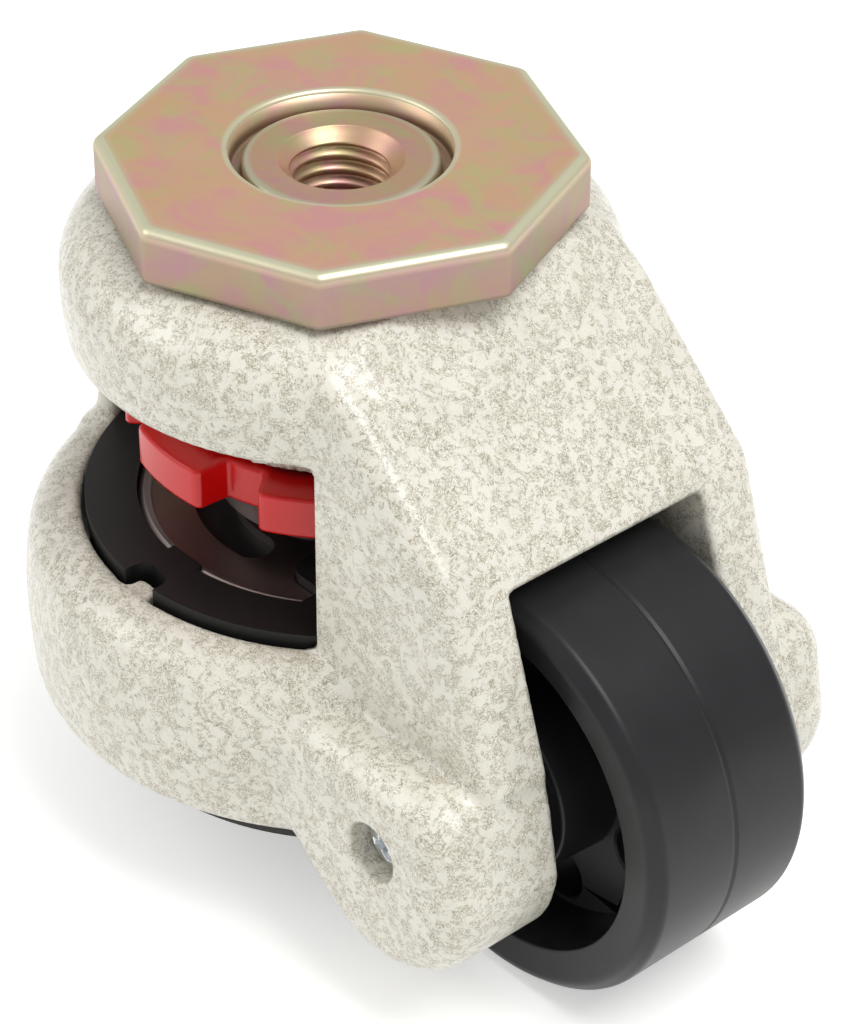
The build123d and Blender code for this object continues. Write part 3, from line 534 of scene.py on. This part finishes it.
def spaced(stops, coarse, fine):
    """Grid values from the first stop to the last, fine between the inner stops and coarse outside."""
    values = []
    steps = [coarse if k % 2 == 0 else fine for k in range(len(stops) - 1)]
    for start, end, step in zip(stops, stops[1:], steps):
        values.append(np.linspace(start, end, max(2, round((end - start) / step)) + 1)[:-1])
    return np.concatenate(values + [[stops[-1]]])


grid = (spaced((-37, 33.2, 41.8, 52.5), 0.78, 0.45),
        spaced((-37, -29.2, -27.2, 37), 0.78, 0.45),
        spaced((8.5, 20.7, 29.3, 76.5), 0.78, 0.45))
points, quads = skin(housing_form, grid)
housing = make_object("cast_housing", points, quads, coat)
normals = slope_of(housing_form, points)
normals /= np.linalg.norm(normals, axis=1, keepdims=True)
housing.data.normals_split_custom_set_from_vertices(normals.tolist())
stands_for(housing, "housing", "housing")

# %% [markdown]
# The top plate is pressed steel, an octagon with a rolled upper edge and a round recess. Its skin is a
# stack of loops: the octagon grows down the rolled edge, then the same points close in on the circle.

# %% Top plate
PLATE_TOP, PLATE_BOTTOM = 82.0, 75.6
FLATS = 48.6 / 2             # middle to a flat
LOOP = 480                   # points in an outline


def octagon(inset, radius):
    """Rounded octagon, this far inside the full size. Along direction t the plain octagon is at
    FLATS / cos(t to the nearest flat); its corners are rounded by drawing it smaller by the radius and
    stepping back out along the surface."""
    core = FLATS - inset - radius
    corners = [(core / math.cos(math.pi / 8) * math.cos(a), core / math.cos(math.pi / 8) * math.sin(a), 0)
               for a in np.radians(np.arange(0, 360, 45))]
    side = LOOP // 8
    arc = side // 4
    line = []
    for k, (x, y, _) in enumerate(corners):
        start = math.radians(45 * k - 22.5)
        t = start + np.linspace(0, math.pi / 4, arc, endpoint=True)
        line.append(np.stack([x + radius * np.cos(t), y + radius * np.sin(t)], -1))
        nx, ny, _ = corners[(k + 1) % 8]
        end = np.array([x + radius * math.cos(t[-1]), y + radius * math.sin(t[-1])])
        next_start = np.array([nx + radius * math.cos(t[-1]), ny + radius * math.sin(t[-1])])
        s = np.linspace(0, 1, side - arc + 2)[1:-1, None]
        line.append(end + (next_start - end) * s)
    return np.concatenate(line)


def circle_like(outline, radius):
    """A circle with a point in the direction of each point of the outline."""
    return outline / np.linalg.norm(outline, axis=1, keepdims=True) * radius


def stack(outlines, heights):
    """Loops of (x, y) at these heights as one grid."""
    return np.stack([np.column_stack([o, np.full(len(o), h)]) for o, h in zip(outlines, heights)])


def top_plate():
    """Loops from the bore up the recess, over the top, round the rolled edge, down and back under."""
    round_over = np.linspace(0, math.pi / 2, 7)
    full = octagon(0, 1.4)
    outlines, heights, edge = [], [], []

    def loop(outline, height, painted_highlight=0.0):
        outlines.append(outline)
        heights.append(height)
        edge.append(painted_highlight)

    recess = PLATE_TOP - 3.0
    loop(circle_like(full, 8.65), PLATE_BOTTOM)
    loop(circle_like(full, 8.65), recess)
    loop(circle_like(full, 11.45), recess)
    loop(circle_like(full, 11.75), recess + 0.1)
    loop(circle_like(full, 11.85), recess + 0.4)
    loop(circle_like(full, 11.85), PLATE_TOP - 0.5, 0.2)
    for a in round_over:
        loop(circle_like(full, 12.35 - 0.5 * math.cos(a)), PLATE_TOP - 0.5 + 0.5 * math.sin(a), 0.8)
    loop(circle_like(full, 12.7), PLATE_TOP, 0.0)
    inner = octagon(1.9, 1.4)
    loop(inner, PLATE_TOP, 0.0)
    roll = 1.0
    loop(octagon(roll + 0.25, 1.4), PLATE_TOP, 0.35)
    for a in round_over[::-1]:
        height = PLATE_TOP - roll * (1 - math.sin(a))
        loop(octagon(roll * (1 - math.cos(a)), 1.4), height, math.sin(a + 0.25))
    loop(full, PLATE_TOP - roll - 0.5, 0.1)
    loop(full, PLATE_BOTTOM + 0.7, 0.0)
    loop(full, PLATE_BOTTOM + 0.3, 0.3)
    loop(octagon(0.3, 1.2), PLATE_BOTTOM, 0.2)
    grid = stack(outlines, heights)
    quads = loops_to_quads(len(outlines), grid.shape[1], True)
    plate = make_object("octagon_plate", grid.reshape(-1, 3), quads, zinc_yellow)
    # edge holds the painted highlight of the rims.
    mark(plate, "edge", np.repeat(edge, grid.shape[1]))
    # wall holds the painted shade of the sides, the recess and the bore.
    mark(plate, "wall", (PLATE_TOP - 0.3 - grid[..., 2]) / roll)
    return plate


plate = top_plate()
stands_for(plate, "top_plate", "plate")

# %% [markdown]
# The kingpin is turned and tapped M12. A thread is a profile carried along a helix: at angle t the wall
# has climbed t/360 of the pitch, so the radius depends on height less that climb.

# %% Kingpin with its thread
PITCH = 1.75                 # mm a turn, M12 coarse
TAP = 5.1                    # crest of the inside thread
GROOVE = 0.85                # depth of the thread, crest to root


def kingpin():
    """Loops down the thread, out under the collar, up the shank and over the head. Inside, radius is
    the crest plus GROOVE times a flat-topped triangle wave of (height - pitch x angle / 360)."""
    t = np.linspace(0, 2 * math.pi, 160, endpoint=False)
    down = np.arange(MOUTH + 0.9, MOUTH - 12.0, -PITCH / 12)
    phase = ((down[:, None] - PITCH * t[None, :] / (2 * math.pi)) / PITCH) % 1.0
    tooth = np.clip(1.25 - np.abs(phase - 0.5) * 3.2, 0, 1)
    fade = np.clip((MOUTH + 0.9 - down) / 1.2, 0, 1)[:, None]
    mouth = TAP + np.clip((down - MOUTH), 0, 2)[:, None]
    wall = np.maximum(TAP + GROOVE * tooth * fade, mouth)
    thread = np.stack([wall * np.cos(t), wall * np.sin(t), np.broadcast_to(down[:, None], wall.shape)], -1)
    bottom = MOUTH - 12.0
    outside = rounded([
        (0.02, bottom, 0), (0.02, 64.7, 0), (14.5, 64.7, 0.4), (14.5, 67.7, 0.4), (8.6, 67.7, 0),
        (8.6, 79.0, 0), (10.5, 79.0, 0.4), (10.5, 80.6, 0.55), (9.4, 80.6, 0), (6.7, 80.6, 0.35)])
    shell = np.stack([outside[:, :1] * np.cos(t), outside[:, :1] * np.sin(t),
                      np.broadcast_to(outside[:, 1:], (len(outside), len(t)))], -1)
    grid = np.concatenate([thread, shell])
    quads = loops_to_quads(len(grid), len(t), True)
    pin = make_object("tapped_kingpin", grid.reshape(-1, 3), quads, zinc_yellow)
    # Painted highlight: the top rim of the flange is marked pale.
    values = np.zeros(grid.shape[:2])
    r = np.hypot(grid[..., 0], grid[..., 1])
    values[(r > 9.9) & (grid[..., 2] > 79.6)] = 0.8
    mark(pin, "edge", values)
    # Painted shade: the whole kingpin is darkened, as it stands in the shaded recess.
    mark(pin, "wall", np.full(grid.shape[:2], 0.45))
    return pin


pin = kingpin()
stands_for(pin, "kingpin", "plate")

# %% [markdown]
# The wheel is moulded nylon, turned here from one profile: tread with a fine parting line at its middle,
# a sloping side, a deep recess with a thin web, and the hub. The web has six round holes, so it is made
# apart: each hole has a sixth of the web, a fan of lines from the hole's edge to the sixth's own edge.

# %% Wheel
RIM, WEB_IN, WEB_HALF = 19.0, 10.9, 3.5
HOLES, HOLE_CIRCLE, HOLE = 6, 15.2, 3.4


def wheel_rim():
    """Closed profile of tread and rim, from the web round the tread and back."""
    half = rounded([
        (RIM, 0.0, 0), (RIM, WEB_HALF, 0.6), (19.8, 11.0, 0.35), (23.6, 11.5, 1.2), (25.0, 10.0, 1.2),
        (25.0, 0.35, 0), (24.82, 0.1, 0), (24.82, 0.0, 0)], 8)
    lower = half[::-1] * (1, -1)
    return np.concatenate([half, lower[1:-1]])


def wheel_hub():
    """Closed profile of the hub, with a bore for a bearing at each end."""
    half = rounded([
        (7.5, 0.0, 0), (7.5, 5.4, 0), (8.0, 5.4, 0), (8.0, 11.0, 0.3), (10.6, 11.0, 0.5),
        (WEB_IN + 0.1, WEB_HALF, 0.5), (WEB_IN + 0.1, 0.0, 0)])
    lower = half[::-1] * (1, -1)
    return np.concatenate([half, lower[1:-1]])


def web_sixth(k, half_thickness):
    """One sixth of the web as loops round its hole. From the hole's centre the boundary in direction a
    is the nearest of the two arcs and the two radial edges, found by trial along the ray."""
    a = np.linspace(0, 2 * math.pi, 96, endpoint=False)
    turn = math.radians(-20 + 60 * k)
    reach = np.linspace(HOLE, 9.5, 400)[:, None]
    px, py = HOLE_CIRCLE + reach * np.cos(a), reach * np.sin(a)
    away = np.hypot(px, py)
    outside = (away > RIM + 0.2) | (away < WEB_IN) | (np.abs(np.arctan2(py, px)) > math.pi / HOLES)
    far = reach[np.argmax(outside, axis=0), 0]
    rings = []
    for radius, y in ((far, -1), (np.full_like(far, HOLE + 0.25), -1), (np.full_like(far, HOLE), -0.93),
                      (np.full_like(far, HOLE), 0.93), (np.full_like(far, HOLE + 0.25), 1), (far, 1)):
        x, z = HOLE_CIRCLE + radius * np.cos(a), radius * np.sin(a)
        rings.append(np.stack([AXLE[0] + x * math.cos(turn) - z * math.sin(turn),
                               np.full_like(x, y * half_thickness),
                               AXLE[1] + x * math.sin(turn) + z * math.cos(turn)], -1))
    return np.stack(rings)


rim = turned("wheel_rim", wheel_rim(), wheel_nylon, 256, about_axle=True)
hub = turned("wheel_hub", wheel_hub(), wheel_nylon, 96, about_axle=True)
sixths = [web_sixth(k, WEB_HALF) for k in range(HOLES)]
each = sixths[0].shape[0] * sixths[0].shape[1]
quads = np.concatenate([loops_to_quads(*sixths[0].shape[:2], True) + each * k for k in range(HOLES)])
web_points = np.concatenate([sixth.reshape(-1, 3) for sixth in sixths])
web = make_object("wheel_web", web_points, quads, wheel_nylon, smooth=False)
for piece in (rim, hub, web):
    stands_for(piece, "wheel", "wheel")

# %% [markdown]
# The thumbwheel is moulded round the steel drive nut. Its outline is a drum with eight blocks for the
# finger, and the mould leaves every edge slightly round: the outline is drawn smaller at top and bottom.

# %% Thumbwheel
DRUM, LOBE, LOBES, LOBE_HALF = 20.3, 24.0, 8, 5.68
LOBE_START = -93.5           # degrees, middle of the first lobe


def inset(outline, distance):
    """The closed outline moved inwards: each point goes along the mean of its two sides' normals,
    further at a corner so that the sides stay parallel."""
    side = np.roll(outline, -1, axis=0) - outline
    side /= np.linalg.norm(side, axis=1, keepdims=True)
    normal = np.column_stack([-side[:, 1], side[:, 0]])
    mean = normal + np.roll(normal, 1, axis=0)
    mean /= np.linalg.norm(mean, axis=1, keepdims=True)
    stretch = np.clip((mean * normal).sum(1, keepdims=True), 0.5, 1)
    return outline + mean * distance / stretch


def thumbwheel_outline():
    """One eighth: root, block side, rounded corner, an arc of the block's face, and the drum's arc."""
    root = math.sqrt(DRUM ** 2 - LOBE_HALF ** 2)
    corner = math.asin((LOBE_HALF - 0.4) / LOBE)
    face = np.linspace(-corner, corner, 14)
    arc = [(LOBE * math.cos(a), LOBE * math.sin(a), 0) for a in face]
    block = rounded([(root - 3, -LOBE_HALF - 6, 0), (root, -LOBE_HALF, 0.5), (23.0, -LOBE_HALF, 0.5)] + arc
                    + [(23.0, LOBE_HALF, 0.5), (root, LOBE_HALF, 0.5), (root - 3, LOBE_HALF + 6, 0)], 4)[1:-1]
    low = math.asin(LOBE_HALF / DRUM) + 0.03
    drum = np.linspace(low, 2 * math.pi / LOBES - low, 10)
    drum = np.column_stack([DRUM * np.cos(drum), DRUM * np.sin(drum)])
    eighth = np.concatenate([block, drum])
    turns = np.radians(LOBE_START + 45 * np.arange(LOBES))
    spin = np.array([[np.cos(turns), -np.sin(turns)], [np.sin(turns), np.cos(turns)]])
    return np.einsum("ijk,pj->kpi", spin, eighth).reshape(-1, 2)


def pressed(name, outline, hole, bottom, top, material, edge=0.4):
    """A slab of this outline with rounded edges and a round hole: loops go up the hole, out over the
    top, round the edge, down the side and back under."""
    bend = np.linspace(0, math.pi / 2, 5)
    loops, heights = [circle_like(outline, hole), circle_like(outline, hole)], [bottom, top]
    for a in bend[::-1]:
        loops.append(inset(outline, edge * (1 - math.cos(a))))
        heights.append(top - edge * (1 - math.sin(a)))
    loops += [outline, outline]
    heights += [top - edge - 0.1, bottom + edge + 0.1]
    for a in bend:
        loops.append(inset(outline, edge * (1 - math.cos(a))))
        heights.append(bottom + edge * (1 - math.sin(a)))
    loops.insert(2, inset(outline, edge + 0.15))
    heights.insert(2, top)
    loops.append(inset(outline, edge + 0.15))
    heights.append(bottom)
    grid = stack(loops, heights)
    return make_object(name, grid.reshape(-1, 3), loops_to_quads(*grid.shape[:2], True), material)


thumb = pressed("lobed_thumbwheel", thumbwheel_outline(), 14.55, 48.25, 53.15, red_plastic)
stands_for(thumb, "thumbwheel", "thumbwheel")

# %% [markdown]
# The axle is a bright zinc bolt. Its pan head sits in a recess of the boss and has a cross recess:
# the height over the head is a shallow dome, less a cross whose arms have steep sides.

# %% Axle bolt
def axle_bolt():
    """Loops of growing radius over the head, down its side and along the shank to the nut's end. Dome:
    height = 2.6 - 0.9 (r / 3.1)^2. Cross depth = 1.6 x arm x end, both running 0 to 1 at the walls."""
    t = np.linspace(0, 2 * math.pi, 192, endpoint=False)
    r = np.concatenate([np.linspace(0.02, 2.5, 60), np.linspace(2.56, 2.95, 6)])[:, None]
    x, z = r * np.cos(t), r * np.sin(t)
    turn = math.radians(20)
    u, v = np.abs(x * math.cos(turn) + z * math.sin(turn)), np.abs(z * math.cos(turn) - x * math.sin(turn))
    arm = np.clip((0.52 - np.minimum(u, v)) / 0.16, 0, 1)
    end = np.clip((2.05 - np.maximum(u, v)) / 0.75, 0, 1)
    height = 2.6 - 0.9 * (r / 3.1) ** 2 - 1.6 * arm * end
    top = np.stack([x, height, z], -1)
    side = np.array([(3.04, 1.62), (3.1, 1.5), (3.1, 1.4), (3.1, 0.15), (3.1, 0.0), (2.95, 0.0), (2.5, 0.0),
                     (2.5, -0.1), (2.5, -51.2), (2.5, -51.3), (2.2, -51.59), (0.02, -51.59)])
    rest = np.stack([side[:, :1] * np.cos(t), np.broadcast_to(side[:, 1:], (len(side), len(t))),
                     side[:, :1] * np.sin(t)], -1)
    grid = np.concatenate([top, rest])
    grid[..., 1] = -(24.0 + grid[..., 1])
    grid += (AXLE[0], 0, AXLE[1])
    return make_object("cross_head_axle_bolt", grid.reshape(-1, 3), loops_to_quads(len(grid), len(t), False),
                       zinc_bright)


stands_for(axle_bolt(), "axle_bolt", "housing")

# %% [markdown]
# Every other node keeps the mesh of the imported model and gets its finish.

# %% Finishes of the other nodes
finishes = {
    "upper_balls": bearing_steel, "lower_balls": bearing_steel, "dust_seal": black_rubber,
    "bearing_outer_rings": bearing_steel, "bearing_inner_rings": bearing_steel,
    "bearing_shields": zinc_bright, "axle_sleeve": zinc_bright, "axle_spacers": zinc_bright,
    "axle_nut": zinc_bright, "drive_nut": dark_steel,
    "thrust_washer": pale_nylon, "retaining_ring": spring_steel,
    "foot_body": black_nylon, "foot_sole": black_rubber, "foot_dish": dish_steel,
    "foot_screw": dark_steel, "rivet_washer": zinc_bright}
for name, material in finishes.items():
    mesh = nodes[name].data
    mesh.materials.clear()
    mesh.materials.append(material)
print("finished", len(finishes), "nodes")

# %% [markdown]
# A plain pale floor, a white surround and two soft lamps. The floor adds a little light of its own to
# what the camera and reflections see, so that it reads as white paper and still holds the shadow.

# %% Floor, light and camera
def stage_floor():
    """A square of one face, white for the camera except where the castor shades it."""
    material, tree, shader, _ = new_material("white_paper", Roughness=0.9)
    shader.inputs["Base Color"].default_value = colour("#F4F4F2")
    rays = add(tree, "ShaderNodeLightPath")
    seen = calc(tree, "MAXIMUM", rays.outputs["Is Camera Ray"], rays.outputs["Is Glossy Ray"])
    shader.inputs["Emission Color"].default_value = (1, 1, 1, 1)
    tree.links.new(calc(tree, "MULTIPLY", seen, 0.42), shader.inputs["Emission Strength"])
    corners = np.array([(-3000, -3000, 0), (3000, -3000, 0), (3000, 3000, 0), (-3000, 3000, 0)], float)
    floor = make_object("floor", corners, np.array([[0, 1, 2, 3]]), material, smooth=False)


def soft_lamp(name, place, watts, size, aim=(0.01, 0.0, -0.04)):
    """A square area lamp at this place in metres, turned to the castor."""
    lamp = bpy.data.lights.new(name, "AREA")
    lamp.energy, lamp.size = watts, size
    obj = bpy.data.objects.new(name, lamp)
    obj.location = place
    obj.rotation_mode = "QUATERNION"
    obj.rotation_quaternion = (Vector(aim) - Vector(place)).to_track_quat("-Z", "Y")
    bpy.context.scene.collection.objects.link(obj)


stage_floor()
soft_lamp("key", (0.42, 0.05, 0.80), 5.5, 0.5)
soft_lamp("fill", (-0.45, -0.55, 0.45), 1.6, 0.5)

world = bpy.data.worlds.new("studio")
bpy.context.scene.world = world
world.use_nodes = True
rays = add(world.node_tree, "ShaderNodeLightPath")
seen = calc(world.node_tree, "MAXIMUM", rays.outputs["Is Camera Ray"], rays.outputs["Is Transmission Ray"])
strength = add(world.node_tree, "ShaderNodeMapRange", {"Value": seen, "To Min": 0.58, "To Max": 1.0})
background = world.node_tree.nodes["Background"]
background.inputs["Color"].default_value = (1, 1, 1, 1)
world.node_tree.links.new(strength.outputs[0], background.inputs["Strength"])

camera = bpy.data.cameras.new("camera")
camera.lens, camera.sensor_width = 123.65, 36.0
view = bpy.data.objects.new("camera", camera)
view.location = (0.246832, -0.204955, 0.187259)
ahead = Vector((-0.609391, 0.534736, -0.585406))
view.rotation_mode = "QUATERNION"
view.rotation_quaternion = ahead.to_track_quat("-Z", "Y") @ Quaternion((0, 0, 1), math.radians(0.278))
bpy.context.scene.collection.objects.link(view)
bpy.context.scene.camera = view
bpy.context.scene.view_settings.view_transform = "Standard"
